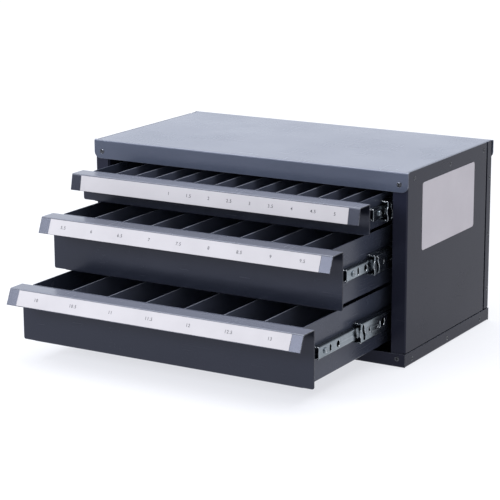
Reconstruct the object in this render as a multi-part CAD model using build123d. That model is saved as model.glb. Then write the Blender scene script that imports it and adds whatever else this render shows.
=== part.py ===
from build123d import *
import os

# A steel case with three drawers on ball slides, standing on a flat surface.
# X runs to the right, Y to the back and Z up. The origin is under the middle of the case,
# on the surface that it stands on. All sizes are in millimetres.

# Case
case_width = 361.0             # over the front and back flanges of the top panel
case_depth = 198.0
case_height = 192.0
case_sheet = 1.0
case_fold = 1.5                # outer radius of a fold
side_inset = 1.0               # side faces lie this far inside the ends of the top flanges
lid_gap = 0.2                  # between the top panel's side flanges and the side panels
top_flange = 19.5
top_corner = 7.0               # radius of the lower corners of the top flanges
top_side_flange = 15.5
post_width = 15.1
pan_flange = 13.0
seam = 1.4                     # height of the groove between pan flange and side panel
back_flange = 11.8             # depth of the back panel's side flanges
slot_width = 3.2               # open slot between side panel and back panel
sheet_gap = 0.1                # between nested sheets that don't bear on each other
fold_lap = 6.0                 # of the lid's side flanges onto its top
wall_drop = 0.3                # side and back panels end this far below the top
lid_headroom = 0.3             # between the lid's folds and what ends under it
corner_relief = 0.2            # at the corners of the pan
past = 1.0                     # cuts run this far past the faces that they go through

# Case screws
screw_head_radius = 2.6
screw_dome_radius = 1.8
screw_shank_radius = 1.45
screw_length = 6.0
screw_proud = 0.3
screw_clearance = 0.1
screw_reach = 3.0              # sheets this near to a screw are drilled for it
cross_length = 2.8
cross_width = 0.6
cross_depth = 0.7
front_screw_inset = 8.5        # from the side face, across
top_screw_drop = 12.1          # below the top
pan_screw_height = 8.1
side_screw_front = 16.0        # first screw of a side row, from the front
side_screw_back = 22.0         # last screw of a side row, from the back
side_screw_drop = 7.8
side_screw_rise = 5.8
back_screw_low = 35.5
back_screw_drop = 38.5
back_screw_inset = 6.2         # from the back

# Slide mounts
plate_inset = 0.4              # inwards from the edges of the posts
mount_top_gap = 0.5            # below the lid's side flanges
mount_tab_gap = 1.0            # between a mount's front tab and the side panel
mount_leg_inset = 2.5          # rear leg, from the front edge of the back panel's side flange
mount_back_gap = 0.6           # between the rear leg and the back panel

# Side label
label_height = 67.0
label_thick = 0.2
label_front = 33.5             # from the front of the case
label_back = 29.5              # from the rear edge of the side panel
label_drop = 15.2
label_corner = 3.0

# Slides: widths are measured from the mounting plane towards the drawer
slide_width = 11.5
slide_setback = 20.0
slide_rear_space = 28.0        # behind the slides
slide_over_travel = 2.0
rail_sheet = 1.0
rail_corner = 1.4
cabinet_rail_half = 13.5
cabinet_rail_lip = 10.3
middle_rail_half = 9.75
middle_rail_web = 2.0
middle_rail_lip = 10.9
drawer_rail_half = 6.0
drawer_rail_web = 6.0
race_depth = 0.35
race_half_width = 1.05
outer_race = 5.4
inner_race = 8.8
ball_gap = 0.137               # between ball and race
ball_pitch = 13.0
balls_per_row = 4
cage_end = 5.5
cage_sheet = 0.4
outer_cage_web = 1.3
outer_cage_lip = 8.0
inner_cage_web = 3.5
inner_cage_lip = 10.5
cage_fold = 1.0
cage_hole_gap = 0.11
cage_window_end = 6.0
cage_window_edge = 3.0
bumper_length = 4.6
bumper_gap = 0.3
bumper_setback = 1.0
bumper_corner = 1.0
rail_screw_inset = 12.3
rail_screw_head_radius = 2.8
rail_screw_head_height = 1.3
rail_screw_radius = 1.25
rail_screw_reach = 1.0         # into the tray past its outer face
rail_screw_rim = 0.5
drive_length = 3.0
drive_width = 0.7
drive_depth = 0.7
mount_screw_inset = 14.0
mount_screw_head_radius = 2.4
mount_screw_reach = 3.2
tail_length = 6.0              # cabinet rail behind the closed middle rail, for the bumper

# Cut-outs in the webs of the rails. Each hole is its place along the rail, from the front end or,
# if negative, from the back end, its height above the middle, and its radius.
cabinet_rail_holes = [(53.0, 0.0, 2.0), (-53.0, 0.0, 2.0)]
middle_rail_holes = [(18.0, 0.0, 1.8), (34.5, -1.0, 1.4), (45.0, 1.2, 3.6), (-30.0, 0.0, 2.8)]
drawer_rail_holes = [(37.6, 0.0, 3.1), (87.0, 0.0, 2.0), (-50.0, 0.0, 2.0)]
drawer_rail_slots = [22.7, -35.0]
drawer_slot_width = 3.6
drawer_slot_height = 6.8
drawer_slot_corner = 1.5
wave_front = 6.0
wave_bow = 1.3
wave_width = 4.4
wave_margin = 2.6              # from the slot's ends to the top and bottom of the rail
nose_radius = 5.0              # rounded nose on the front edge of a middle rail's web
nose_reach = 2.2
pocket_front = 11.5
pocket_length = 28.0
pocket_height = 6.4
pocket_depth = 0.45
pocket_corner = 1.5

# Drawers
drawer_gap = 3.1               # between a ledge and the tray above it
pan_clearance = 4.2            # between the pan flange and the lowest tray
lid_clearance = 3.6            # between the top flange and the highest ledge
top_drawer_height = 31.1
tray_sheet = 0.8
tray_fold = 1.2
tray_back_space = 11.0         # behind a closed tray
front_sheet = 1.0
front_side_gap = 1.3           # between a drawer front and the posts
front_corner = 2.0
ledge_depth = 18.9
lip_drops = {"bottom": 15.45, "middle": 15.45, "top": 16.4}             # of the lower edge, below the ledge
lip_fold = 1.4
divider_sheet = 0.8
divider_drop = 1.5             # divider tops lie this far below the ledge
tab_length = 10.0
tab_inset = 25.0
tab_gap = 0.05
strip_width = 303.0
strip_height = 15.3
strip_thick = 0.25
strip_top = 0.7                # from the ledge along the lip

# Drawers, from the bottom up
compartment_counts = {"bottom": 7, "middle": 9, "top": 13}
open_shares = {"bottom": 0.9928, "middle": 0.6408, "top": 0.2954}    # of their travel
lip_slants = {"bottom": 7.0, "middle": 6.1, "top": 3.2}              # forward, at the lower edge

# Places that follow from the sizes above
front_y = -case_depth / 2
back_y = case_depth / 2
side_face = case_width / 2 - side_inset
side_inner = side_face - case_sheet
post_inner = side_face - post_width
post_back = front_y + 2 * case_sheet
rail_plane = post_inner - case_sheet - plate_inset
tray_half = rail_plane - slide_width
front_half = post_inner - front_side_gap
groove_top = pan_flange + seam
back_flange_front = back_y - back_flange
side_rear = back_flange_front - slot_width
wall_top = case_height - wall_drop
under_lid = case_height - case_fold - lid_headroom
lid_notch = case_sheet + case_fold + sheet_gap
foot_rise = case_fold + sheet_gap
joggle = case_sheet + sheet_gap    # inward step of the side panel behind the pan flange
mount_top = case_height - top_side_flange - mount_top_gap
slide_front = front_y + slide_setback
slide_length = case_depth - slide_setback - slide_rear_space
travel = slide_length + slide_over_travel
slide_middle = slide_front + slide_length / 2
tray_length = case_depth - front_sheet - tray_back_space
lowest_tray = pan_flange + pan_clearance
highest_ledge = case_height - top_flange - lid_clearance
deep_height = (highest_ledge - lowest_tray - top_drawer_height - 2 * drawer_gap) / 2
outer_ball_height = (cabinet_rail_half - rail_sheet + middle_rail_half) / 2
inner_ball_height = (middle_rail_half - rail_sheet + drawer_rail_half) / 2
outer_ball_radius = (cabinet_rail_half - rail_sheet - middle_rail_half) / 2 + race_depth - ball_gap
inner_ball_radius = (middle_rail_half - rail_sheet - drawer_rail_half) / 2 + race_depth - ball_gap

os.makedirs("parts", exist_ok=True)


def block(low_x, high_x, low_y, high_y, low_z, high_z):
    middle = ((low_x + high_x) / 2, (low_y + high_y) / 2, (low_z + high_z) / 2)
    return Pos(*middle) * Box(high_x - low_x, high_y - low_y, high_z - low_z)


def mirrored(shape):
    return mirror(shape, about=Plane.YZ)


def folded(plane, points, length, sheet, fold):
    # A strip of sheet folded along a line of points in the plane, its middle line, and drawn out
    # along the plane's normal.
    middle_line = FilletPolyline(*points, radius=fold - sheet / 2)
    return extrude(plane * trace(middle_line, line_width=sheet), amount=length)


def save(name, *solids):
    bodies = [solid for shape in solids for solid in shape.solids()]
    export_step(bodies[0] if len(bodies) == 1 else Compound(children=bodies), f"parts/{name}.step")
    print(name, len(bodies))


def cross_recess(top):
    slot = Pos(0, 0, top) * Box(cross_length, cross_width, 2 * cross_depth)
    return slot + Rot(0, 0, 90) * slot


def case_screw():
    # Flat head with a low domed top, pointing into the sheet along -Z.
    taper = screw_head_radius - screw_shank_radius
    head = Pos(0, 0, -taper / 2) * Cone(screw_shank_radius, screw_head_radius, taper)
    dome = Pos(0, 0, screw_proud / 2) * Cone(screw_head_radius, screw_dome_radius, screw_proud)
    shank = Pos(0, 0, -screw_length / 2) * Cylinder(screw_shank_radius, screw_length)
    return head + dome + shank - cross_recess(screw_proud)


def case_screw_hole():
    radius = screw_shank_radius + screw_clearance
    rim = screw_head_radius + screw_clearance
    depth = case_sheet + screw_reach
    sink = Pos(0, 0, (radius - rim) / 2) * Cone(radius, rim, rim - radius)
    mouth = Pos(0, 0, past / 2) * Cylinder(rim, past)
    return sink + mouth + Pos(0, 0, -depth / 2) * Cylinder(radius, depth)


def front_screw_places():
    x = side_face - front_screw_inset
    high = case_height - top_screw_drop
    places = []
    for face_y, normal in ((front_y, -1), (back_y, 1)):
        for side in (-x, x):
            for z in (high, pan_screw_height):
                places.append(Plane((side, face_y, z), x_dir=(1, 0, 0), z_dir=(0, normal, 0)))
    return places


def side_screw_places(side):
    first = front_y + side_screw_front
    last = back_y - side_screw_back
    top_row = [(y, case_height - side_screw_drop) for y in (first, (first + last) / 2, last)]
    pan_row = [(y, side_screw_rise) for y in (first, (first + last) / 2, last)]
    highest = case_height - back_screw_drop
    heights = (back_screw_low, (back_screw_low + highest) / 2, highest)
    back_row = [(back_y - back_screw_inset, z) for z in heights]
    return [
        Plane((side * side_face, y, z), x_dir=(0, 1, 0), z_dir=(side, 0, 0))
        for y, z in top_row + pan_row + back_row
    ]


def screw_places():
    return front_screw_places() + side_screw_places(-1) + side_screw_places(1)


def drilled(shape):
    # Cuts the screw holes that this piece shares with its neighbours.
    near = shape.bounding_box()
    for place in screw_places():
        x, y, z = place.origin
        inside_x = near.min.X - screw_reach < x < near.max.X + screw_reach
        inside_y = near.min.Y - screw_reach < y < near.max.Y + screw_reach
        inside_z = near.min.Z - screw_reach < z < near.max.Z + screw_reach
        if inside_x and inside_y and inside_z:
            shape -= place * case_screw_hole()
    return shape


def top_panel():
    half = case_sheet / 2
    low = case_height - top_flange
    line = [
        (front_y + half, low),
        (front_y + half, case_height - half),
        (back_y - half, case_height - half),
        (back_y - half, low),
    ]
    left = -case_width / 2
    lid = folded(Plane.YZ.offset(left), line, case_width, case_sheet, case_fold)
    lid = fillet(lid.edges().filter_by(Axis.Y).group_by(Axis.Z)[0], top_corner)
    outer = side_inner - lid_gap
    flange_front = front_y + lid_notch
    flange_depth = case_depth - 2 * lid_notch
    for side in (-1, 1):
        cut = block(outer - case_fold, case_width, flange_front, back_y - lid_notch,
                    case_height - case_fold, case_height + past)
        lid -= cut if side > 0 else mirrored(cut)
    edge_line = [
        (outer - fold_lap, case_height - half),
        (outer - half, case_height - half),
        (outer - half, case_height - top_side_flange),
    ]
    plane = Plane((0, flange_front + flange_depth, 0), x_dir=(1, 0, 0), z_dir=(0, -1, 0))
    flange = folded(plane, edge_line, flange_depth, case_sheet, case_fold)
    return drilled(lid + flange + mirrored(flange))


def bottom_pan():
    half = case_sheet / 2
    line = [
        (front_y + half, pan_flange),
        (front_y + half, half),
        (back_y - half, half),
        (back_y - half, pan_flange),
    ]
    wide = folded(Plane.YZ.offset(-side_face), line, 2 * side_face, case_sheet, case_fold)
    corner_gap = case_sheet + corner_relief
    for side in (-1, 1):
        cut = block(side_inner - case_fold, case_width, front_y + corner_gap, back_y - corner_gap,
                    -past, pan_flange + past)
        wide -= cut if side > 0 else mirrored(cut)
    cross_line = [
        (-side_face + half, pan_flange),
        (-side_face + half, half),
        (side_face - half, half),
        (side_face - half, pan_flange),
    ]
    depth = case_depth - 2 * corner_gap
    plane = Plane((0, back_y - corner_gap, 0), x_dir=(1, 0, 0), z_dir=(0, -1, 0))
    deep = folded(plane, cross_line, depth, case_sheet, case_fold)
    return drilled(wide + deep)


def side_panel():
    # Right-hand panel: wall and front post from one sheet, stepped inwards behind the pan flange.
    half = case_sheet / 2
    wall_line = [
        (side_face - half, side_rear),
        (side_face - half, front_y + case_sheet + half),
        (post_inner, front_y + case_sheet + half),
    ]
    wall = folded(Plane.XY.offset(groove_top), wall_line, wall_top - groove_top, case_sheet, case_fold)
    inner_face = side_face - joggle
    foot_line = [
        (inner_face - half, side_rear),
        (inner_face - half, front_y + case_sheet + half),
        (post_inner, front_y + case_sheet + half),
    ]
    step_low = groove_top - joggle
    foot = folded(Plane.XY.offset(foot_rise), foot_line, step_low - foot_rise, case_sheet, case_fold)
    step = Plane((0, side_rear, 0), x_dir=(1, 0, 0), z_dir=(0, -1, 0)) * make_face(
        Polyline(
            (inner_face - case_sheet, step_low),
            (inner_face, step_low),
            (side_face, groove_top),
            (side_face - case_sheet, groove_top),
            close=True,
        )
    )
    step = extrude(step, amount=side_rear - front_y - case_sheet - case_fold)
    post = block(post_inner, inner_face - case_fold, front_y + case_sheet, post_back,
                 step_low - past, groove_top + past)
    panel = wall + foot + step + post
    panel -= block(0, side_inner - sheet_gap, front_y, post_back + past, under_lid, case_height)
    panel -= block(0, case_width, front_y, front_y + lid_notch, case_height - lid_notch, case_height)
    return drilled(panel)


def back_panel():
    half = case_sheet / 2
    middle_y = back_y - case_sheet - half
    line = [
        (-side_face + half, back_flange_front),
        (-side_face + half, middle_y),
        (side_face - half, middle_y),
        (side_face - half, back_flange_front),
    ]
    panel = folded(Plane.XY.offset(groove_top), line, wall_top - groove_top, case_sheet, case_fold)
    panel += block(-side_inner + sheet_gap, side_inner - sheet_gap, back_y - 2 * case_sheet,
                   back_y - case_sheet, foot_rise, groove_top + past)
    inner = side_inner - sheet_gap
    panel -= block(-inner, inner, back_y - 3 * case_sheet, back_y, under_lid, case_height)
    panel -= block(-case_width, case_width, back_y - lid_notch, back_y,
                   case_height - lid_notch, case_height)
    return drilled(panel)


def slide_mount():
    # Right-hand plate: a tab behind the post, a web that carries the cabinet rails, and a rear leg
    # that the back panel is screwed to.
    half = case_sheet / 2
    web_x = rail_plane + half
    rear = back_flange_front + mount_leg_inset
    line = [
        (side_inner - joggle - mount_tab_gap, post_back + half),
        (web_x, post_back + half),
        (web_x, rear),
        (side_inner - half, rear),
        (side_inner - half, back_y - 2 * case_sheet - mount_back_gap),
    ]
    height = mount_top - case_sheet
    plate = folded(Plane.XY.offset(case_sheet), line, height, case_sheet, case_fold)
    plate -= block(side_inner - joggle - sheet_gap, side_face, rear - case_sheet, back_y, 0, groove_top)
    hole = across(rail_screw_radius + screw_clearance, 2 * (case_sheet + past))
    for name in compartment_counts:
        for y in mount_screw_ys():
            plate -= web_spot(0, y, name) * hole
    return drilled(plate)


def side_label():
    start = front_y + label_front
    end = side_rear - label_back
    y = (start + end) / 2
    z = case_height - label_drop - label_height / 2
    shape = RectangleRounded(end - start, label_height, label_corner)
    plane = Plane((side_face, y, z), x_dir=(0, 1, 0), z_dir=(1, 0, 0))
    return extrude(plane * shape, amount=label_thick)


def tray_bottom(name):
    if name == "bottom":
        return lowest_tray
    if name == "middle":
        return lowest_tray + deep_height + drawer_gap
    return highest_ledge - top_drawer_height


def ledge_height(name):
    return tray_bottom(name) + (top_drawer_height if name == "top" else deep_height)


def slide_height(name):
    return (tray_bottom(name) + ledge_height(name)) / 2


def opening(name):
    return open_shares[name] * travel


def mount_screw_ys():
    return (slide_front + mount_screw_inset, slide_front + slide_length - mount_screw_inset)


def rail_screw_ys():
    return (slide_front + rail_screw_inset, slide_front + slide_length - rail_screw_inset)


def flange_line(web, lip, height, races):
    # One face of a rail's flange, from the web to the lip, with its rolled races.
    lines = []
    at = (web, height)
    for place, depth in races:
        start = (place - race_half_width, height)
        end = (place + race_half_width, height)
        lines.append(Line(at, start))
        lines.append(ThreePointArc(start, (place, height + depth), end))
        at = end
    lines.append(Line(at, (lip, height)))
    return lines


def rail_section(web, lip, half_height, races):
    # U runs from the mounting plane towards the drawer and V up from the middle of the slide.
    inner_corner = rail_corner - rail_sheet
    corner = (web + rail_corner, half_height)
    inner_height = half_height - rail_sheet
    edges = [
        Line((web, 0), (web, half_height - rail_corner)),
        RadiusArc((web, half_height - rail_corner), corner, rail_corner),
        *flange_line(corner[0], lip, half_height, races),
        Line((lip, half_height), (lip, inner_height)),
        *flange_line(corner[0], lip, inner_height, races),
        RadiusArc((web + rail_sheet, half_height - rail_corner), (corner[0], inner_height), inner_corner),
        Line((web + rail_sheet, half_height - rail_corner), (web + rail_sheet, 0)),
        Line((web + rail_sheet, 0), (web, 0)),
    ]
    upper = make_face(edges)
    return upper + mirror(upper, about=Plane.XZ)


def slide_plane(front, name):
    # At the right-hand side of the case: U runs inwards, V up, and the normal back.
    return Plane((rail_plane, front, slide_height(name)), x_dir=(-1, 0, 0), z_dir=(0, 1, 0))


def rail(section, front, length, name):
    return extrude(slide_plane(front, name) * section, amount=length)


def across(radius, length):
    # A pin along the slide's width, for holes through the webs.
    return Cylinder(radius, length, rotation=(0, 90, 0))


def web_spot(width, y, name, rise=0.0):
    return Pos(rail_plane - width, y, slide_height(name) + rise)


def along(place):
    return place if place > 0 else slide_length + place


def web_holes(holes, width, front, name):
    pins = []
    for place, rise, radius in holes:
        spot = web_spot(width, front + along(place), name, rise)
        pins.append(spot * across(radius, 2 * (rail_sheet + past)))
    return pins


def cabinet_rail(name):
    section = rail_section(0, cabinet_rail_lip, cabinet_rail_half, [(outer_race, race_depth)])
    shape = rail(section, slide_front, slide_length + tail_length, name)
    for y in mount_screw_ys():
        shape -= web_spot(0, y, name) * mount_screw_hole()
    return shape - web_holes(cabinet_rail_holes, 0, slide_front, name)


def wave_slot(web, front, name):
    # The stop slot near the front of a middle rail: one wave, top to bottom.
    z = slide_height(name)
    y = front + wave_front
    half = middle_rail_half - wave_margin
    line = Spline(
        (y, z - half),
        (y + wave_bow, z - half / 2),
        (y, z),
        (y - wave_bow, z + half / 2),
        (y, z + half),
    )
    plane = Plane((web, 0, 0), x_dir=(0, 1, 0), z_dir=(1, 0, 0))
    return extrude(plane * trace(line, line_width=wave_width), amount=rail_sheet + past, both=True)


def rail_nose(name, front):
    # A round nose on the middle rail's web, forward of its straight front edge.
    middle = front - nose_reach + nose_radius
    disc = web_spot(middle_rail_web + rail_sheet / 2, middle, name) * across(nose_radius, rail_sheet)
    return disc - block(0, case_width, front + rail_sheet, back_y, 0, case_height)


def middle_rail(name):
    races = [(outer_race, -race_depth), (inner_race, race_depth)]
    section = rail_section(middle_rail_web, middle_rail_lip, middle_rail_half, races)
    front = slide_front - opening(name) / 2
    shape = rail(section, front, slide_length, name) + rail_nose(name, front)
    web = rail_plane - middle_rail_web
    z = slide_height(name)
    pocket = block(web - pocket_depth, web + past, front + pocket_front,
                   front + pocket_front + pocket_length, z - pocket_height / 2, z + pocket_height / 2)
    shape -= fillet(pocket.edges().filter_by(Axis.X), pocket_corner)
    shape -= wave_slot(web, front, name)
    return shape - web_holes(middle_rail_holes, middle_rail_web, front, name)


def drawer_rail(name):
    section = rail_section(drawer_rail_web, slide_width, drawer_rail_half, [(inner_race, -race_depth)])
    front = slide_front - opening(name)
    shape = rail(section, front, slide_length, name)
    hole = across(rail_screw_radius + screw_clearance, 2 * (rail_sheet + past))
    for y in rail_screw_ys():
        shape -= web_spot(drawer_rail_web, y - opening(name), name) * hole
    slot = Box(2 * (rail_sheet + past), drawer_slot_width, drawer_slot_height)
    slot = fillet(slot.edges().filter_by(Axis.X), drawer_slot_corner)
    for place in drawer_rail_slots:
        shape -= web_spot(drawer_rail_web, front + along(place), name) * slot
    return shape - web_holes(drawer_rail_holes, drawer_rail_web, front, name)


def ball_ys():
    first = slide_middle - (balls_per_row - 1) / 2 * ball_pitch
    return [first + number * ball_pitch for number in range(balls_per_row)]


def ball_cage(name, shift, web, lip, ball_width, ball_height, ball_radius):
    half = ball_height + cage_sheet / 2
    length = (balls_per_row - 1) * ball_pitch + 2 * cage_end
    line = [(lip, -ball_height), (web, -ball_height), (web, ball_height), (lip, ball_height)]
    middle_line = FilletPolyline(*line, radius=cage_fold)
    section = trace(middle_line, line_width=cage_sheet)
    cage = rail(section, slide_middle - length / 2 - shift, length, name)
    balls = []
    for y in ball_ys():
        for height in (-ball_height, ball_height):
            place = web_spot(ball_width, y - shift, name, height)
            cage -= place * Cylinder(ball_radius + cage_hole_gap, 4 * cage_sheet)
            balls.append(place * Sphere(ball_radius))
    window = Box(lip, length - 2 * cage_window_end, 2 * (half - cage_window_edge))
    cage -= web_spot(lip / 2, slide_middle - shift, name) * window
    return [cage, *balls]


def mount_screw():
    # Flat head flush with the inside of the cabinet rail's web.
    radius = mount_screw_head_radius
    cone = Cone(radius - rail_sheet, radius, rail_sheet, rotation=(0, -90, 0))
    length = rail_sheet + mount_screw_reach
    shank = Pos(length / 2 - rail_sheet, 0, 0) * across(rail_screw_radius, length)
    return Pos(-rail_sheet / 2, 0, 0) * cone + shank - cross_drive(-rail_sheet)


def cross_drive(x):
    slot = Pos(x, 0, 0) * Box(2 * drive_depth, drive_width, drive_length)
    return slot + Rot(90, 0, 0) * slot


def mount_screw_hole():
    radius = mount_screw_head_radius + screw_clearance
    cone = Cone(radius - rail_sheet, radius, rail_sheet, rotation=(0, -90, 0))
    hole = across(rail_screw_radius + screw_clearance, 2 * (rail_sheet + past))
    return Pos(-rail_sheet / 2, 0, 0) * cone + hole


def rail_screw():
    # Low round head on the drawer rail's web, shank through web and tray wall, along -X.
    head = Pos(rail_screw_head_height / 2, 0, 0) * across(rail_screw_head_radius, rail_screw_head_height)
    rim = head.edges().filter_by(GeomType.CIRCLE).sort_by(Axis.X)[-1]
    head = fillet(rim, rail_screw_rim)
    reach = slide_width - drawer_rail_web + rail_screw_reach
    shank = Pos(-reach / 2, 0, 0) * across(rail_screw_radius, reach)
    return head + shank - cross_drive(rail_screw_head_height)


def bumper(name):
    # Rubber block in the tail of the cabinet rail, behind the closed middle rail.
    start = slide_front + slide_length + bumper_gap
    half = cabinet_rail_half - rail_sheet
    z = slide_height(name)
    shape = block(rail_plane - cabinet_rail_lip + bumper_setback, rail_plane - rail_sheet, start,
                  start + bumper_length, z - half, z + half)
    return fillet(shape.edges().filter_by(Axis.Y), bumper_corner)


def front_face(name):
    return front_y - opening(name)


def tray(name):
    low = tray_bottom(name)
    high = ledge_height(name)
    start = front_face(name) + front_sheet
    end = start + tray_length
    shell = block(-tray_half, tray_half, start, end, low, high)
    bottom_edges = shell.edges().group_by(Axis.Z)[0]
    upright_edges = shell.edges().filter_by(Axis.Z)
    shell = fillet(bottom_edges + upright_edges, tray_fold)
    hollow = block(-tray_half + tray_sheet, tray_half - tray_sheet, start + tray_sheet,
                   end - tray_sheet, low + tray_sheet, high + past)
    hollow_edges = hollow.edges().group_by(Axis.Z)[0] + hollow.edges().filter_by(Axis.Z)
    shell -= fillet(hollow_edges, tray_fold - tray_sheet)
    hole = across(rail_screw_radius + screw_clearance, 2 * (tray_half + past))
    for y in rail_screw_ys():
        shell -= Pos(0, y - opening(name), slide_height(name)) * hole
    slot = Box(divider_sheet + 2 * tab_gap, tab_length + 2 * tab_gap, 2 * (tray_sheet + past))
    for x in divider_xs(name):
        for y in tab_ys(start):
            shell -= Pos(x, y, low) * slot
    return shell


def divider_xs(name):
    # The dividers split the inside of the tray into equal compartments.
    count = compartment_counts[name]
    inside = 2 * (tray_half - tray_sheet)
    clear = (inside - (count - 1) * divider_sheet) / count
    first = -inside / 2 + clear + divider_sheet / 2
    return [first + number * (clear + divider_sheet) for number in range(count - 1)]


def tab_ys(start):
    return (start + tab_inset, start + tray_length - tab_inset)


def dividers(name):
    low = tray_bottom(name) + tray_sheet
    high = ledge_height(name) - divider_drop
    start = front_face(name) + front_sheet
    plate = block(-divider_sheet / 2, divider_sheet / 2, start + tray_sheet,
                  start + tray_length - tray_sheet, low, high)
    plate = chamfer(plate.edges().filter_by(Axis.X).group_by(Axis.Z)[0], tray_fold)
    for y in tab_ys(start):
        plate += block(-divider_sheet / 2, divider_sheet / 2, y - tab_length / 2, y + tab_length / 2,
                       low - tray_sheet, low + past)
    return [Pos(x, 0, 0) * plate for x in divider_xs(name)]


def drawer_front(name):
    half = front_sheet / 2
    face = front_face(name)
    top = ledge_height(name)
    low = tray_bottom(name) + front_sheet
    line = [
        (face + half, low),
        (face + half, top - half),
        (face - ledge_depth + half, top - half),
        (face - ledge_depth - lip_slants[name] + half, top - lip_drops[name]),
    ]
    plane = Plane.YZ.offset(-front_half)
    sheet = folded(plane, line, 2 * front_half, front_sheet, lip_fold)
    return fillet(sheet.edges().filter_by(Axis.Y).group_by(Axis.Z)[0], front_corner)


def lip_plane(name):
    # Plane of the lip's outer face at the middle of the number strip, normal forwards.
    slant = lip_slants[name]
    drop = lip_drops[name] - front_sheet / 2
    length = (slant ** 2 + drop ** 2) ** 0.5
    down = (0, -slant / length, -drop / length)
    outward = (0, down[2], -down[1])
    top_y = front_face(name) - ledge_depth + front_sheet / 2
    top_z = ledge_height(name) - front_sheet / 2
    reach = strip_top + strip_height / 2
    spot = (
        0,
        top_y + down[1] * reach + outward[1] * front_sheet / 2,
        top_z + down[2] * reach + outward[2] * front_sheet / 2,
    )
    return Plane(spot, x_dir=(1, 0, 0), z_dir=outward)


def number_strip(name):
    return extrude(lip_plane(name) * Rectangle(strip_width, strip_height), amount=strip_thick)


def save_case():
    save("top_panel", top_panel())
    save("bottom_pan", bottom_pan())
    right = side_panel()
    save("side_panel_right", right)
    save("side_panel_left", mirrored(right))
    save("back_panel", back_panel())
    mount = slide_mount()
    save("slide_mount_right", mount)
    save("slide_mount_left", mirrored(mount))
    screw = case_screw()
    save("case_screws", *[place * screw for place in screw_places()])
    save("side_label", side_label())


def save_slides(name):
    shift = opening(name)
    outer = ball_cage(name, shift / 4, outer_cage_web + cage_sheet / 2, outer_cage_lip, outer_race,
                      outer_ball_height, outer_ball_radius)
    inner = ball_cage(name, shift * 3 / 4, inner_cage_web + cage_sheet / 2, inner_cage_lip, inner_race,
                      inner_ball_height, inner_ball_radius)
    pieces = {
        "cabinet_rail": [cabinet_rail(name)],
        "middle_rail": [middle_rail(name)],
        "drawer_rail": [drawer_rail(name)],
        "outer_ball_cage": outer,
        "inner_ball_cage": inner,
    }
    for piece, shapes in pieces.items():
        save(f"{piece}_{name}_right", *shapes)
        save(f"{piece}_{name}_left", *[mirrored(shape) for shape in shapes])


def save_drawer(name):
    save(f"tray_{name}", tray(name))
    save(f"dividers_{name}", *dividers(name))
    save(f"drawer_front_{name}", drawer_front(name))
    save(f"number_strip_{name}", number_strip(name))
    screw = rail_screw()
    screws = []
    for y in rail_screw_ys():
        placed = web_spot(drawer_rail_web, y - opening(name), name) * screw
        screws += [placed, mirrored(placed)]
    save(f"rail_screws_{name}", *screws)


def save_mountings():
    screw = mount_screw()
    screws = []
    bumpers = []
    for name in compartment_counts:
        for y in mount_screw_ys():
            placed = web_spot(0, y, name) * screw
            screws += [placed, mirrored(placed)]
        bumpers += [bumper(name), mirrored(bumper(name))]
    save("mount_screws", *screws)
    save("slide_bumpers", *bumpers)


save_case()
save_mountings()
for drawer in compartment_counts:
    save_slides(drawer)
    save_drawer(drawer)
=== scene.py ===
import math

import bmesh
import bpy
from mathutils import Matrix, Vector


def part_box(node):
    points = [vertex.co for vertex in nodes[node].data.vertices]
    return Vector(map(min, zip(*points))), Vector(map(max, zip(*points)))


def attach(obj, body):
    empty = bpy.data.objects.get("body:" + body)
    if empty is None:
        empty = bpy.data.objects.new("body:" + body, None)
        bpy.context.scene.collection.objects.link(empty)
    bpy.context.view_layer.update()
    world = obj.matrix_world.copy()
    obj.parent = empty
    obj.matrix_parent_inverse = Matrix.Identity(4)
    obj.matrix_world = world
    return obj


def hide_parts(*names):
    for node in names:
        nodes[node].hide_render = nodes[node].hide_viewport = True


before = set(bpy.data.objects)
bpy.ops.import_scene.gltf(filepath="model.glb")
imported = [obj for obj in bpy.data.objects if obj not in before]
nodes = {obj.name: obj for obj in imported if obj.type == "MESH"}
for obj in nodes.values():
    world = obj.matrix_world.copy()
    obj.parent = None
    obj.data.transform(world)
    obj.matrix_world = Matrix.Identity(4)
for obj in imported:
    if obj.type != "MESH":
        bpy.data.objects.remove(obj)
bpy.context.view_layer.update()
print("frame loaded:", len(nodes), "CAD nodes")


# small helpers for shader trees

def fillInputs(tree, node, values):
    for key, value in values.items():
        if isinstance(value, bpy.types.NodeSocket):
            tree.links.new(value, node.inputs[key])
        else:
            node.inputs[key].default_value = value


def addNode(tree, kind, inputs=None, **settings):
    node = tree.nodes.new(kind)
    for key, value in settings.items():
        setattr(node, key, value)
    fillInputs(tree, node, inputs or {})
    return node


def newGroup(name, inputs, outputs):
    tree = bpy.data.node_groups.new(name, "ShaderNodeTree")
    for label, default in inputs.items():
        socket = tree.interface.new_socket(label, in_out="INPUT", socket_type="NodeSocketFloat")
        socket.default_value = default
    for label in outputs:
        tree.interface.new_socket(label, in_out="OUTPUT", socket_type="NodeSocketFloat")
    return tree, tree.nodes.new("NodeGroupInput"), tree.nodes.new("NodeGroupOutput")


def placeGroup(tree, group, values):
    return addNode(tree, "ShaderNodeGroup", values, node_tree=group).outputs


def objectPlace(tree):
    return addNode(tree, "ShaderNodeTexCoord").outputs["Object"]


def upPart(tree, vector):
    return addNode(tree, "ShaderNodeSeparateXYZ", {0: vector}).outputs["Z"]


def rescaled(tree, value, span, newSpan=(0.0, 1.0)):
    return addNode(tree, "ShaderNodeMapRange", {
        "Value": value, "From Min": span[0], "From Max": span[1], "To Min": newSpan[0], "To Max": newSpan[1],
    }).outputs["Result"]


def times(tree, first, second):
    return addNode(tree, "ShaderNodeMath", {0: first, 1: second}, operation="MULTIPLY").outputs[0]


def plus(tree, first, second):
    return addNode(tree, "ShaderNodeMath", {0: first, 1: second}, operation="ADD").outputs[0]


def mixed(tree, factor, first, second):
    return addNode(tree, "ShaderNodeMix", {0: factor, 6: first, 7: second}, data_type="RGBA").outputs[2]


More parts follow.
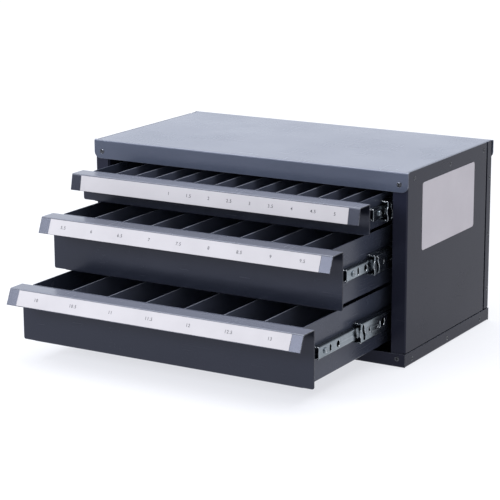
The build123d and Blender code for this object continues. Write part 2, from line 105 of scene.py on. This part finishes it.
def noiseAt(tree, vector, scale, detail, roughness=0.5):
    return addNode(tree, "ShaderNodeTexNoise", {
        "Vector": vector, "Scale": scale, "Detail": detail, "Roughness": roughness,
    }).outputs[0]


def stretched(tree, vector, scale, turn=(0, 0, 0)):
    return addNode(tree, "ShaderNodeMapping", {"Vector": vector, "Scale": scale, "Rotation": turn}).outputs[0]


def bumped(tree, height, settings, **normal):
    return addNode(tree, "ShaderNodeBump", {
        "Height": height, "Strength": settings["bumpStrength"], "Distance": settings["bumpHeight"],
        **normal,
    }).outputs[0]


# shared effects

noiseSpan = (0.3, 0.7)     # most of a noise texture lies between these
fullSpan = (0.0, 1.0)
downSpan = (1.0, 0.0)      # turns a rising mask round

grainPattern = {
    "pebble": 900.0, "pebbleDetail": 1.0, "cloud": 14.0, "cloudDetail": 4.0, "cloudRoughness": 0.6,
}


def makeCoatGrain():
    # fine pebbled skin of a sprayed coat, and its slow change in colour and gloss
    look = grainPattern
    tree, start, end = newGroup("coatGrain", {"Pebble": look["pebble"], "Cloud": look["cloud"]},
                                ("Height", "Mottle"))
    place = objectPlace(tree)
    pebble = noiseAt(tree, place, start.outputs["Pebble"], look["pebbleDetail"])
    cloud = noiseAt(tree, place, start.outputs["Cloud"], look["cloudDetail"], look["cloudRoughness"])
    tree.links.new(pebble, end.inputs["Height"])
    tree.links.new(rescaled(tree, cloud, noiseSpan), end.inputs["Mottle"])
    return tree


wearAndHighlightPattern = {
    "amount": 0.5, "patch": 160.0, "patchDetail": 3.0, "patchRoughness": 0.65,
    "patchSpan": (0.42, 0.62), "patchLevel": (0.15, 1.0),     # least and most marked patch of wear and painted highlight
}


def makeEdgeWearAndHighlight():
    # edges broken into patches: rubbed-through wear in places, and painted highlight on edges that catch the
    # light
    look = wearAndHighlightPattern
    tree, start, end = newGroup("edgeWearAndHighlight", {"Edge": 0.0, "Amount": look["amount"], "Patch": look["patch"]},
                                ("Mask",))
    noise = noiseAt(tree, objectPlace(tree), start.outputs["Patch"],
                    look["patchDetail"], look["patchRoughness"])
    patch = rescaled(tree, noise, look["patchSpan"], look["patchLevel"])
    patchedEdge = times(tree, start.outputs["Edge"], patch)
    tree.links.new(times(tree, patchedEdge, start.outputs["Amount"]), end.inputs["Mask"])
    return tree


scuffPattern = {
    "density": 0.5, "size": 1.0, "hairDetail": 1.0, "hairSpan": (0.66, 0.74),
    "hairs": [((0.3, 0.5, 0.9), (26, 900, 900)), ((0.8, -0.4, -0.5), (900, 30, 900))],     # turn and scale
    "area": 22.0, "areaDetail": 2.0, "areaSpan": (0.45, 0.7),
}


def makeFineScuffs():
    # hairline marks lying two ways, in some areas only
    look = scuffPattern
    tree, start, end = newGroup("fineScuffs", {"Density": look["density"], "Size": look["size"]}, ("Mask",))
    place = objectPlace(tree)
    lines = []
    for turn, scale in look["hairs"]:
        hair = noiseAt(tree, stretched(tree, place, scale, turn), start.outputs["Size"], look["hairDetail"])
        lines.append(rescaled(tree, hair, look["hairSpan"]))
    both = plus(tree, lines[0], lines[1])
    where = rescaled(tree, noiseAt(tree, place, look["area"], look["areaDetail"]), look["areaSpan"])
    tree.links.new(times(tree, times(tree, both, where), start.outputs["Density"]), end.inputs["Mask"])
    return tree


dustAndSheenPattern = {
    "amount": 0.3, "upSpan": (0.7, 0.98),
    "speck": 420.0, "speckDetail": 4.0, "speckRoughness": 0.7, "speckCover": (0.88, 1.0),
}


def makeDustAndSheen():
    # a little dust on what faces up, and a painted sheen there: a lighter colour laid almost evenly on upward
    # faces
    look = dustAndSheenPattern
    tree, start, end = newGroup("dustAndSheen", {"Amount": look["amount"]}, ("Mask",))
    up = upPart(tree, addNode(tree, "ShaderNodeNewGeometry").outputs["Normal"])
    noise = noiseAt(tree, objectPlace(tree), look["speck"], look["speckDetail"], look["speckRoughness"])
    speck = rescaled(tree, noise, noiseSpan, look["speckCover"])
    laid = times(tree, rescaled(tree, up, look["upSpan"]), speck)
    tree.links.new(times(tree, laid, start.outputs["Amount"]), end.inputs["Mask"])
    return tree


coatGrain = makeCoatGrain()
edgeWearAndHighlight = makeEdgeWearAndHighlight()
fineScuffs = makeFineScuffs()
dustAndSheen = makeDustAndSheen()

edgeRounding = {"samples": 6, "matchSpan": (0.80, 0.985)}     # how well rounded and flat normal match


def roundedEdge(tree, radius):
    # normal with the sheet's edges rounded, and a mask of those edges
    bevel = addNode(tree, "ShaderNodeBevel", {"Radius": radius}, samples=edgeRounding["samples"])
    rounded = bevel.outputs["Normal"]
    flat = addNode(tree, "ShaderNodeNewGeometry").outputs["Normal"]
    match = addNode(tree, "ShaderNodeVectorMath", {0: rounded, 1: flat}, operation="DOT_PRODUCT")
    return rounded, rescaled(tree, match.outputs["Value"], edgeRounding["matchSpan"], downSpan)


def around(value, swing):
    return value + swing[0], value + swing[1]


def newMaterial(name):
    material = bpy.data.materials.new(name)
    material.use_nodes = True
    tree = material.node_tree
    return material, tree, tree.nodes["Principled BSDF"]


# finishes

def sprayedSteel(name, paint):
    material, tree, shader = newMaterial(name)
    grain = placeGroup(tree, coatGrain, {"Pebble": paint["pebble"], "Cloud": paint["cloud"]})
    rounded, edge = roundedEdge(tree, paint["edgeRadius"])
    facing = upPart(tree, rounded)
    # painted highlight on edges that face up and along folds, added to real rubbed-through wear, in a lighter
    # colour
    wearAndHighlightEdge = times(tree, edge, rescaled(tree, facing, paint["topEdges"], (paint["sideWearAndHighlight"], 1.0)))
    fold = times(tree, rescaled(tree, facing, paint["foldFoot"]),
                 rescaled(tree, facing, paint["foldTop"], downSpan))
    wearAndHighlight = placeGroup(tree, edgeWearAndHighlight, {"Edge": wearAndHighlightEdge, "Amount": paint["wearAndHighlightAmount"]})["Mask"]
    wearAndHighlight = plus(tree, wearAndHighlight, times(tree, fold, paint["foldHighlight"]))
    scuffs = placeGroup(tree, fineScuffs, {"Density": paint["scuffs"]})["Mask"]
    # dust and painted sheen: upward faces such as the ledges and the top mixed toward a pale blue-grey
    dustAndSheenLevel = placeGroup(tree, dustAndSheen, {"Amount": paint["dustAndSheenLevel"]})["Mask"]
    colour = mixed(tree, grain["Mottle"], paint["colour"], paint["cloudColour"])
    colour = mixed(tree, wearAndHighlight, colour, paint["wearAndHighlightColour"])
    colour = mixed(tree, dustAndSheenLevel, colour, paint["dustAndSheenColour"])
    rough = rescaled(tree, grain["Mottle"], fullSpan, around(paint["roughness"], paint["roughSwing"]))
    rough = plus(tree, rough, times(tree, scuffs, paint["scuffRough"]))
    rough = plus(tree, rough, times(tree, dustAndSheenLevel, paint["dustAndSheenRough"]))
    fillInputs(tree, shader, {
        "Base Color": colour, "Roughness": rough, "IOR": paint["ior"], "Specular Tint": paint["glossTint"],
        "Normal": bumped(tree, grain["Height"], paint, Normal=rounded),
    })
    return material


greyCoat = {
    "colour": (0.0130, 0.0150, 0.0230, 1), "cloudColour": (0.0110, 0.0130, 0.0205, 1),
    "wearAndHighlightColour": (0.13, 0.14, 0.17, 1), "dustAndSheenColour": (0.30, 0.31, 0.37, 1),
    "ior": 1.39, "glossTint": (0.84, 0.86, 1.0, 1), "pebble": 700.0, "cloud": 14.0,
    "roughness": 0.22, "roughSwing": (-0.03, 0.04), "scuffRough": 0.22, "dustAndSheenRough": 0.1,
    "bumpStrength": 0.10, "bumpHeight": 0.00006, "edgeRadius": 0.0005,
    "wearAndHighlightAmount": 0.55, "sideWearAndHighlight": 1.0, "foldHighlight": 0.0, "scuffs": 0.5, "dustAndSheenLevel": 0.30,
    "topEdges": (0.0, 0.5),                                # an edge facing up gets the most painted highlight and wear
    "foldFoot": (0.50, 0.62), "foldTop": (0.90, 0.97),     # a fold faces up by an amount between these
}
# the tray insides have the same paint, lightened as painted fill light for the deep compartments
litInnerCoat = {**greyCoat, "colour": (0.040, 0.046, 0.066, 1), "cloudColour": (0.035, 0.040, 0.060, 1)}

casePaint = sprayedSteel("casePaint", {
    **greyCoat, "ior": 1.22,
    "colour": (0.0140, 0.0150, 0.0255, 1), "cloudColour": (0.0120, 0.0130, 0.0225, 1),
})
# the top panel has the case's paint, lightened as painted light for its brightly lit top and front flange,
# with a painted highlight on its fold
litLidPaint = sprayedSteel("litLidPaint", {
    **greyCoat, "colour": (0.055, 0.064, 0.090, 1), "cloudColour": (0.048, 0.057, 0.082, 1),
    "scuffs": 0.3, "foldHighlight": 0.35, "wearAndHighlightColour": (0.50, 0.51, 0.56, 1),
})
# drawer fronts: painted highlight on upward edges and along the lip folds, and painted sheen on the ledges,
# on top of real wear and dust
frontPaint = sprayedSteel("drawerFrontPaint", {
    **greyCoat, "wearAndHighlightAmount": 1.3, "sideWearAndHighlight": 0.15, "foldHighlight": 0.3, "dustAndSheenLevel": 0.37, "edgeRadius": 0.0008,
    "wearAndHighlightColour": (0.42, 0.43, 0.47, 1),
})
trayPaint = sprayedSteel("trayPaint", {
    **litInnerCoat, "ior": 1.34, "roughness": 0.26, "dustAndSheenLevel": 0.12, "scuffs": 0.9, "wearAndHighlightAmount": 0.8,
})
# dividers lighter still as painted fill light on their faces, with a strong painted highlight along their top
# edges
litDividerPaint = sprayedSteel("litDividerPaint", {
    **litInnerCoat, "colour": (0.110, 0.120, 0.160, 1), "cloudColour": (0.095, 0.105, 0.145, 1),
    "roughness": 0.30, "wearAndHighlightAmount": 2.2, "edgeRadius": 0.0004, "wearAndHighlightColour": (0.50, 0.52, 0.56, 1), "dustAndSheenLevel": 0.3,
})


def platedSteel(name, plate):
    # plated metal with drawing lines along the rail
    material, tree, shader = newMaterial(name)
    place = objectPlace(tree)
    lines = stretched(tree, place, plate["drawScale"])
    drawn = noiseAt(tree, lines, 1.0, plate["drawDetail"], plate["drawRoughness"])
    cloud = noiseAt(tree, place, plate["cloud"], plate["cloudDetail"], plate["cloudRoughness"])
    cloud = rescaled(tree, cloud, noiseSpan)
    rounded, edge = roundedEdge(tree, plate["edgeRadius"])
    steep = addNode(tree, "ShaderNodeMath", {0: upPart(tree, rounded)}, operation="ABSOLUTE").outputs[0]
    # painted highlight on the edges along the rail, mixed with real rubbing, in a brighter metal colour
    plateWearAndHighlightEdge = times(tree, edge, rescaled(tree, steep, plate["steepSpan"], plate["steepWearAndHighlight"]))
    wearAndHighlight = placeGroup(tree, edgeWearAndHighlight, {
        "Edge": plateWearAndHighlightEdge, "Amount": plate["wearAndHighlightAmount"], "Patch": plate["wearPatch"],
    })["Mask"]
    scuffs = placeGroup(tree, fineScuffs, {"Density": plate["scuffs"]})["Mask"]
    colour = mixed(tree, cloud, plate["colour"], plate["cloudColour"])
    lined = rescaled(tree, drawn, plate["drawSpan"], plate["drawShare"])
    colour = mixed(tree, lined, colour, plate["drawColour"])
    colour = mixed(tree, wearAndHighlight, colour, plate["brightColour"])
    rough = rescaled(tree, drawn, plate["roughSpan"], around(plate["roughness"], plate["roughSwing"]))
    rough = plus(tree, rough, times(tree, scuffs, plate["scuffRough"]))
    fillInputs(tree, shader, {
        "Base Color": colour, "Roughness": rough, "Normal": bumped(tree, drawn, plate, Normal=rounded),
        "Metallic": 1.0,
    })
    return material


zincSettings = {
    "colour": (0.30, 0.33, 0.36, 1), "cloudColour": (0.18, 0.215, 0.235, 1),
    "drawColour": (0.15, 0.18, 0.20, 1), "brightColour": (0.85, 0.87, 0.89, 1),
    "cloud": 60.0, "cloudDetail": 4.0, "cloudRoughness": 0.65,
    "drawScale": (900, 14, 900), "drawDetail": 3.0, "drawRoughness": 0.6,
    "drawSpan": (0.35, 0.75), "drawShare": (0.0, 0.5), "bumpStrength": 0.15, "bumpHeight": 0.00004,
    "roughness": 0.20, "roughSpan": (0.25, 0.75), "roughSwing": (-0.08, 0.10), "scuffRough": 0.2,
    "edgeRadius": 0.0009, "wearAndHighlightAmount": 2.6, "wearPatch": 300.0, "scuffs": 0.8,
    "steepSpan": (0.1, 0.5), "steepWearAndHighlight": (0.15, 1.0),     # painted highlight and wear are brightest on the edges along the rail
}
zincPlate = platedSteel("zincPlate", zincSettings)
blackOxide = platedSteel("blackOxide", {
    **zincSettings, "colour": (0.085, 0.088, 0.100, 1), "cloudColour": (0.065, 0.068, 0.078, 1),
    "drawColour": (0.045, 0.048, 0.055, 1), "brightColour": (0.60, 0.61, 0.64, 1), "roughness": 0.24,
    "drawScale": (300, 300, 300), "edgeRadius": 0.0002, "wearAndHighlightAmount": 0.8,
})
# ball cages coloured dark as painted shade, for the shaded zone in front of each slide's middle member
cagePlate = platedSteel("shadeDarkCage", {
    **zincSettings, "colour": (0.10, 0.11, 0.12, 1), "cloudColour": (0.06, 0.07, 0.075, 1),
    "drawColour": (0.05, 0.055, 0.06, 1), "brightColour": (0.30, 0.32, 0.33, 1),
    "roughness": 0.34, "wearAndHighlightAmount": 0.8,
})


def stickerVinyl(name, sticker):
    material, tree, shader = newMaterial(name)
    grain = placeGroup(tree, coatGrain, {"Pebble": sticker["fibre"], "Cloud": sticker["cloud"]})
    scuffs = placeGroup(tree, fineScuffs, {"Density": sticker["scuffs"]})["Mask"]
    rounded, edge = roundedEdge(tree, sticker["edgeRadius"])
    colour = mixed(tree, grain["Mottle"], sticker["colour"], sticker["cloudColour"])
    # painted shade: the sticker's rounded edges darkened
    colour = mixed(tree, times(tree, edge, sticker["edgeShadeShare"]), colour, sticker["edgeShadeColour"])
    rough = rescaled(tree, grain["Mottle"], fullSpan, around(sticker["roughness"], sticker["roughSwing"]))
    rough = plus(tree, rough, times(tree, scuffs, sticker["scuffRough"]))
    fillInputs(tree, shader, {
        "Base Color": colour, "Roughness": rough,
        "Normal": bumped(tree, grain["Height"], sticker, Normal=rounded),
    })
    return material


stickerSettings = {
    "colour": (0.39, 0.37, 0.375, 1), "cloudColour": (0.37, 0.352, 0.358, 1),
    "edgeShadeColour": (0.28, 0.27, 0.28, 1), "edgeShadeShare": 0.35, "edgeRadius": 0.0004,
    "fibre": 1600.0, "cloud": 26.0, "scuffs": 0.5, "bumpStrength": 0.08, "bumpHeight": 0.00003,
    "roughness": 0.60, "roughSwing": (-0.05, 0.05), "scuffRough": 0.2,
}
stripVinyl = stickerVinyl("stripVinyl", stickerSettings)
labelVinyl = stickerVinyl("labelVinyl", {
    **stickerSettings, "colour": (0.50, 0.47, 0.50, 1), "cloudColour": (0.47, 0.44, 0.47, 1),
})


def bumperRubber(rubber):
    material, tree, shader = newMaterial("bumperRubber")
    grain = placeGroup(tree, coatGrain, {"Pebble": rubber["pebble"], "Cloud": rubber["cloud"]})
    fillInputs(tree, shader, {
        "Base Color": mixed(tree, grain["Mottle"], rubber["colour"], rubber["bloomColour"]),
        "Roughness": rescaled(tree, grain["Mottle"], fullSpan, rubber["roughness"]),
        "Normal": bumped(tree, grain["Height"], rubber),
    })
    return material


rubberFinish = bumperRubber({
    "colour": (0.018, 0.018, 0.019, 1), "bloomColour": (0.035, 0.035, 0.037, 1),
    "pebble": 1300.0, "cloud": 90.0, "roughness": (0.65, 0.85), "bumpStrength": 0.3, "bumpHeight": 0.00005,
})


def printInk(ink):
    material, tree, shader = newMaterial("printInk")
    grain = placeGroup(tree, coatGrain, {"Pebble": ink["pebble"], "Cloud": ink["cloud"]})
    fillInputs(tree, shader, {
        "Base Color": mixed(tree, grain["Mottle"], ink["colour"], ink["thinColour"]),
        "Roughness": rescaled(tree, grain["Height"], ink["pebbleSpan"], ink["roughness"]),
    })
    return material


inkFinish = printInk({
    "colour": (0.010, 0.010, 0.014, 1), "thinColour": (0.022, 0.022, 0.028, 1),
    "pebble": 2600.0, "pebbleSpan": (0.2, 0.8), "cloud": 240.0, "roughness": (0.4, 0.6),
})
print("finishes made")


# CAD nodes take their finishes by how their names start

finishes = {
    "top_panel": litLidPaint, "bottom_pan": casePaint, "side_panel": casePaint, "back_panel": casePaint,
    "slide_mount": casePaint, "drawer_front": frontPaint, "tray": trayPaint, "dividers": litDividerPaint,
    "number_strip": stripVinyl, "side_label": labelVinyl, "slide_bumpers": rubberFinish,
    "case_screws": blackOxide, "outer_ball_cage": cagePlate, "inner_ball_cage": cagePlate,
}

for name, node in nodes.items():
    # the rest are the rails, and the screws that hold them
    finish = next((finishes[start] for start in finishes if name.startswith(start)), zincPlate)
    node.data.materials.clear()
    node.data.materials.append(finish)
print("CAD nodes dressed")


# new pieces

def placeObject(name, data):
    thing = bpy.data.objects.new(name, data)
    bpy.context.scene.collection.objects.link(thing)
    return thing


def meshObject(name, mesh, material=None):
    if material:
        mesh.materials.append(material)
    return placeObject(name, mesh)


def meshFrom(form, name):
    mesh = bpy.data.meshes.new(name)
    form.to_mesh(mesh)
    form.free()
    return mesh


def evaluatedMesh(thing):
    depsgraph = bpy.context.evaluated_depsgraph_get()
    return bpy.data.meshes.new_from_object(thing.evaluated_get(depsgraph))


def axesAt(right, up, out, place):
    # matrix that turns X, Y and Z to three directions, at a place
    return Matrix((
        (right.x, up.x, out.x, place.x),
        (right.y, up.y, out.y, place.y),
        (right.z, up.z, out.z, place.z),
        (0, 0, 0, 1),
    ))


# case screws: a low domed head with a cross recess, set in rows by Geometry Nodes

screw = {     # lengths in mm
    "profile": [(0.0, 0.30), (0.9, 0.29), (1.7, 0.22), (2.3, 0.09), (2.58, -0.06), (2.60, -0.16),
                (1.45, -1.20), (1.45, -1.6), (0.0, -1.6)],     # radius and height
    "steps": 32, "weld": 1e-6,                                 # weld distance in metres
    "crossLength": 2.9, "crossWidth": 0.78, "crossDepth": 1.05, "crossRise": 1.0,
    "crossTaper": 0.00045,                                     # share of the size: all but straight
    "frontInset": 8.5, "topDrop": 12.1, "panHeight": 8.1,
    "sideFront": 16.0, "sideBack": 22.0, "sideDrop": 7.8, "sideRise": 5.8,
    "backLow": 35.5, "backDrop": 38.5, "backInset": 6.2, "seed": 7,
}


def screwHead():
    form = bmesh.new()
    ring = [form.verts.new((radius / 1000, 0, height / 1000)) for radius, height in screw["profile"]]
    for low, high in zip(ring, ring[1:]):
        form.edges.new((low, high))
    bmesh.ops.spin(form, geom=form.verts[:] + form.edges[:], axis=(0, 0, 1), cent=(0, 0, 0),
                   steps=screw["steps"], angle=math.tau)
    bmesh.ops.remove_doubles(form, verts=form.verts[:], dist=screw["weld"])
    bmesh.ops.recalc_face_normals(form, faces=form.faces[:])
    mesh = meshFrom(form, "screwHead")
    mesh.shade_smooth()
    head = meshObject("screwHead", mesh)
    for turn in (0, math.pi / 2):
        cutter = meshObject("crossCutter", crossWing(turn))
        cut = head.modifiers.new("cross", "BOOLEAN")
        cut.object, cut.operation, cut.solver = cutter, "DIFFERENCE", "EXACT"
        head.data = evaluatedMesh(head)
        head.modifiers.clear()
        bpy.data.objects.remove(cutter)
    return head


def crossWing(turn):
    form = bmesh.new()
    length, width, depth, rise = (screw[key] / 1000
                                  for key in ("crossLength", "crossWidth", "crossDepth", "crossRise"))
    corners = []
    for height, grow in ((rise, 1.0), (-depth, 1 - screw["crossTaper"])):
        corners.append([form.verts.new((x * length / 2 * grow, y * width / 2 * grow, height))
                        for x, y in ((-1, -1), (1, -1), (1, 1), (-1, 1))])
    form.faces.new(corners[0])
    form.faces.new(corners[1][::-1])
    for index in range(4):
        after = (index + 1) % 4
        form.faces.new((corners[0][index], corners[1][index], corners[1][after], corners[0][after]))
    bmesh.ops.recalc_face_normals(form, faces=form.faces[:])
    bmesh.ops.rotate(form, verts=form.verts[:], cent=(0, 0, 0), matrix=Matrix.Rotation(turn, 3, "Z"))
    return meshFrom(form, "crossWing")


def screwPoints():
    # the same rows as the CAD screws: front, back and both sides
    low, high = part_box("bottom_pan")[0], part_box("top_panel")[1]
    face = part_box("side_panel_right")[1].x
    size = {key: value / 1000 for key, value in screw.items() if key != "profile"}
    spots = []
    for side in (-1, 1):
        for z in (high.z - size["topDrop"], size["panHeight"]):
            x = side * (face - size["frontInset"])
            spots.append(((x, low.y, z), (0, -1, 0)))
            spots.append(((x, high.y, z), (0, 1, 0)))
        first, last = low.y + size["sideFront"], high.y - size["sideBack"]
        for y in (first, (first + last) / 2, last):
            for z in (high.z - size["sideDrop"], size["sideRise"]):
                spots.append(((side * face, y, z), (side, 0, 0)))
        top = high.z - size["backDrop"]
        for z in (size["backLow"], (size["backLow"] + top) / 2, top):
            spots.append(((side * face, high.y - size["backInset"], z), (side, 0, 0)))
    mesh = bpy.data.meshes.new("screwPoints")
    mesh.from_pydata([place for place, facing in spots], [], [])
    facings = mesh.attributes.new("facing", "FLOAT_VECTOR", "POINT")
    for index, (place, facing) in enumerate(spots):
        facings.data[index].vector = facing
    return mesh


def screwRowTree():
    # sets a screw on each point, facing out and turned at random
    tree = bpy.data.node_groups.new("screwRows", "GeometryNodeTree")
    sockets = {"Geometry": "Geometry", "Screw": "Object", "Finish": "Material", "Seed": "Int"}
    for label, kind in sockets.items():
        tree.interface.new_socket(label, in_out="INPUT", socket_type=f"NodeSocket{kind}")
    tree.interface.new_socket("Geometry", in_out="OUTPUT", socket_type="NodeSocketGeometry")
    start, end = tree.nodes.new("NodeGroupInput"), tree.nodes.new("NodeGroupOutput")
    shape = addNode(tree, "GeometryNodeObjectInfo", {"Object": start.outputs["Screw"]})
    facing = addNode(tree, "GeometryNodeInputNamedAttribute", {"Name": "facing"}, data_type="FLOAT_VECTOR")
    aim = addNode(tree, "FunctionNodeAlignRotationToVector",
                  {"Vector": facing.outputs["Attribute"]}, axis="Z")
    turn = addNode(tree, "FunctionNodeRandomValue", {"Seed": start.outputs["Seed"]}, data_type="FLOAT")
    angle = times(tree, turn.outputs[1], math.tau)
    turnAxes = addNode(tree, "ShaderNodeCombineXYZ", {"Z": angle})
    spin = addNode(tree, "FunctionNodeEulerToRotation", {0: turnAxes.outputs[0]})
    turned = addNode(tree, "FunctionNodeRotateRotation",
                     {"Rotation": aim.outputs[0], "Rotate By": spin.outputs[0]}, rotation_space="LOCAL")
    placed = addNode(tree, "GeometryNodeInstanceOnPoints", {
        "Points": start.outputs["Geometry"], "Instance": shape.outputs["Geometry"],
        "Rotation": turned.outputs[0],
    })
    real = addNode(tree, "GeometryNodeRealizeInstances", {"Geometry": placed.outputs[0]})
    done = addNode(tree, "GeometryNodeSetMaterial", {
        "Geometry": real.outputs[0], "Material": start.outputs["Finish"],
    })
    tree.links.new(done.outputs[0], end.inputs["Geometry"])
    return tree


def socketNamed(tree, label):
    return next(item.identifier for item in tree.interface.items_tree
                if item.name == label and item.in_out == "INPUT")


def caseScrews():
    head = screwHead()
    rows = meshObject("screwRows", screwPoints())
    tree = screwRowTree()
    modifier = rows.modifiers.new("rows", "NODES")
    modifier.node_group = tree
    for label, value in (("Screw", head), ("Finish", blackOxide), ("Seed", screw["seed"])):
        modifier[socketNamed(tree, label)] = value
    mesh = evaluatedMesh(rows)
    for thing in (rows, head):
        bpy.data.objects.remove(thing)
    piece = meshObject("caseScrewHeads", mesh)
    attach(piece, "case")
    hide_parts("case_screws")
    return piece


screws = caseScrews()
print("case screws set:", len(screws.data.polygons), "faces")


# size marks on the number strips: plain digits, in millimetres of drill

marks = {     # lengths in mm; slant and drop are those of the lip under the strip
    "bottom": {"first": 10.0, "count": 7, "start": -129.8, "step": 43.33, "slant": 7.0, "drop": 14.95},
    "middle": {"first": 5.5, "count": 9, "start": -134.9, "step": 33.52, "slant": 6.1, "drop": 14.95},
    "top": {"first": 1.0, "count": 9, "start": -46.6, "step": 23.0, "slant": 3.2, "drop": 15.9},
    "sizeStep": 0.5, "size": 4.4, "rise": 0.3, "lift": 0.03, "halfStrip": 0.125,
    "spacing": 1.15, "weight": 0.00005,     # how far each stroke is thickened, in metres
}


def markText(value, place, up, outward):
    curve = bpy.data.curves.new("mark", "FONT")
    curve.body = f"{value:g}"
    curve.size = marks["size"] / 1000
    curve.align_x, curve.align_y = "CENTER", "CENTER"
    curve.offset = marks["weight"]
    curve.space_character = marks["spacing"]
    thing = placeObject("mark", curve)
    mesh = evaluatedMesh(thing)
    bpy.data.objects.remove(thing)
    mesh.transform(axesAt(Vector((1, 0, 0)), up, outward, place))
    return mesh


def joinedMesh(name, meshes):
    form = bmesh.new()
    for mesh in meshes:
        form.from_mesh(mesh)
        bpy.data.meshes.remove(mesh)
    return meshFrom(form, name)


def sizeMarks(drawer):
    own = marks[drawer]
    low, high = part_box(f"number_strip_{drawer}")
    length = math.hypot(own["slant"], own["drop"])
    up = Vector((0, own["slant"], own["drop"])) / length
    outward = Vector((0, -own["drop"], own["slant"])) / length
    middle = (low + high) / 2
    middle += outward * (marks["lift"] / 1000 + marks["halfStrip"] / 1000)
    middle += up * marks["rise"] / 1000
    meshes = []
    for index in range(own["count"]):
        x = (own["start"] + index * own["step"]) / 1000
        place = Vector((x, middle.y, middle.z))
        meshes.append(markText(own["first"] + index * marks["sizeStep"], place, up, outward))
    piece = meshObject(f"sizeMarks_{drawer}", joinedMesh(f"sizeMarks_{drawer}", meshes), inkFinish)
    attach(piece, f"{drawer}_drawer")
    return piece


for drawer in ("bottom", "middle", "top"):
    sizeMarks(drawer)
print("size marks printed")


# floor, light and camera

studio = {
    "floorSize": 60.0, "floorDrop": 0.0002,
    "floor": {"colour": (0.22, 0.217, 0.214, 1), "cloudColour": (0.21, 0.207, 0.204, 1),
              "cloud": 3.0, "cloudDetail": 3.0, "roughness": 0.9, "shine": 0.1,
              "glow": 0.72, "glowColour": (0.94, 0.95, 1.0, 1)},     # lit from below, as a light table
    "world": (0.91, 0.94, 1.0, 1), "worldStrength": 0.55,
    "ceiling": {"strength": 3.8, "spread": math.radians(70), "tint": (0.92, 0.95, 1.0)},     # straight down
    "lamps": [
        # name, colour, place, aim, width, height, watts
        ("keyLamp", (0.86, 0.90, 1.0), (-0.89, -1.76, 0.88), (0, -0.2, 0.1), 1.05, 0.68, 36.0),
        ("backLamp", (0.84, 0.90, 1.0), (-2.3, 3.8, 1.3), (0, 0, 0.18), 7.0, 2.6, 42.0),
    ],
}


def floorFinish(settings):
    material, tree, shader = newMaterial("paleFloor")
    cloud = noiseAt(tree, objectPlace(tree), settings["cloud"], settings["cloudDetail"])
    fillInputs(tree, shader, {
        "Base Color": mixed(tree, cloud, settings["colour"], settings["cloudColour"]),
        "Roughness": settings["roughness"], "Specular IOR Level": settings["shine"],
        "Emission Color": settings["glowColour"], "Emission Strength": settings["glow"],
    })
    return material


def studioLight():
    mesh = bpy.data.meshes.new("floor")
    reach = studio["floorSize"] / 2
    drop = -studio["floorDrop"]
    corners = ((-reach, -reach), (reach, -reach), (reach, reach), (-reach, reach))
    mesh.from_pydata([(x, y, drop) for x, y in corners], [], [(0, 1, 2, 3)])
    meshObject("floor", mesh, floorFinish(studio["floor"]))
    ceiling = bpy.data.lights.new("ceilingLight", "SUN")
    ceiling.energy = studio["ceiling"]["strength"]
    ceiling.angle = studio["ceiling"]["spread"]
    ceiling.color = studio["ceiling"]["tint"]
    placeObject("ceilingLight", ceiling)
    for name, tint, place, aim, width, height, watts in studio["lamps"]:
        lamp = bpy.data.lights.new(name, "AREA")
        lamp.shape, lamp.size, lamp.size_y, lamp.energy, lamp.color = "RECTANGLE", width, height, watts, tint
        thing = placeObject(name, lamp)
        thing.location = place
        thing.rotation_euler = (Vector(aim) - Vector(place)).to_track_quat("-Z", "Y").to_euler()
        thing.visible_camera = False
    world = bpy.data.worlds.new("studio")
    bpy.context.scene.world = world
    world.use_nodes = True
    fillInputs(world.node_tree, world.node_tree.nodes["Background"],
               {"Color": studio["world"], "Strength": studio["worldStrength"]})
    bpy.context.scene.view_settings.view_transform = "Standard"


view = {     # solved from the photograph: degrees and metres
    "azimuth": 30.862, "elevation": 13.848, "roll": -0.279, "distance": 1.89367,
    "aim": (0.006563, -0.099, 0.096483), "focalPixels": 1897.47, "framePixels": 500, "sensor": 36.0,
    "nearest": 0.05,
}


def placeCamera():
    azimuth, elevation, roll = (math.radians(view[key]) for key in ("azimuth", "elevation", "roll"))
    back = Vector((math.sin(azimuth) * math.cos(elevation), -math.cos(azimuth) * math.cos(elevation),
                   math.sin(elevation)))
    right = Vector((math.cos(azimuth), math.sin(azimuth), 0))
    up = back.cross(right)
    turnedRight = math.cos(roll) * right + math.sin(roll) * up
    turnedUp = math.cos(roll) * up - math.sin(roll) * right
    lens = bpy.data.cameras.new("camera")
    lens.sensor_width = view["sensor"]
    lens.lens = view["focalPixels"] / view["framePixels"] * view["sensor"]
    lens.clip_start = view["nearest"]
    camera = placeObject("camera", lens)
    place = Vector(view["aim"]) + back * view["distance"]
    camera.matrix_world = axesAt(turnedRight, turnedUp, back, place)
    bpy.context.scene.camera = camera


studioLight()
placeCamera()
print("studio and camera ready")
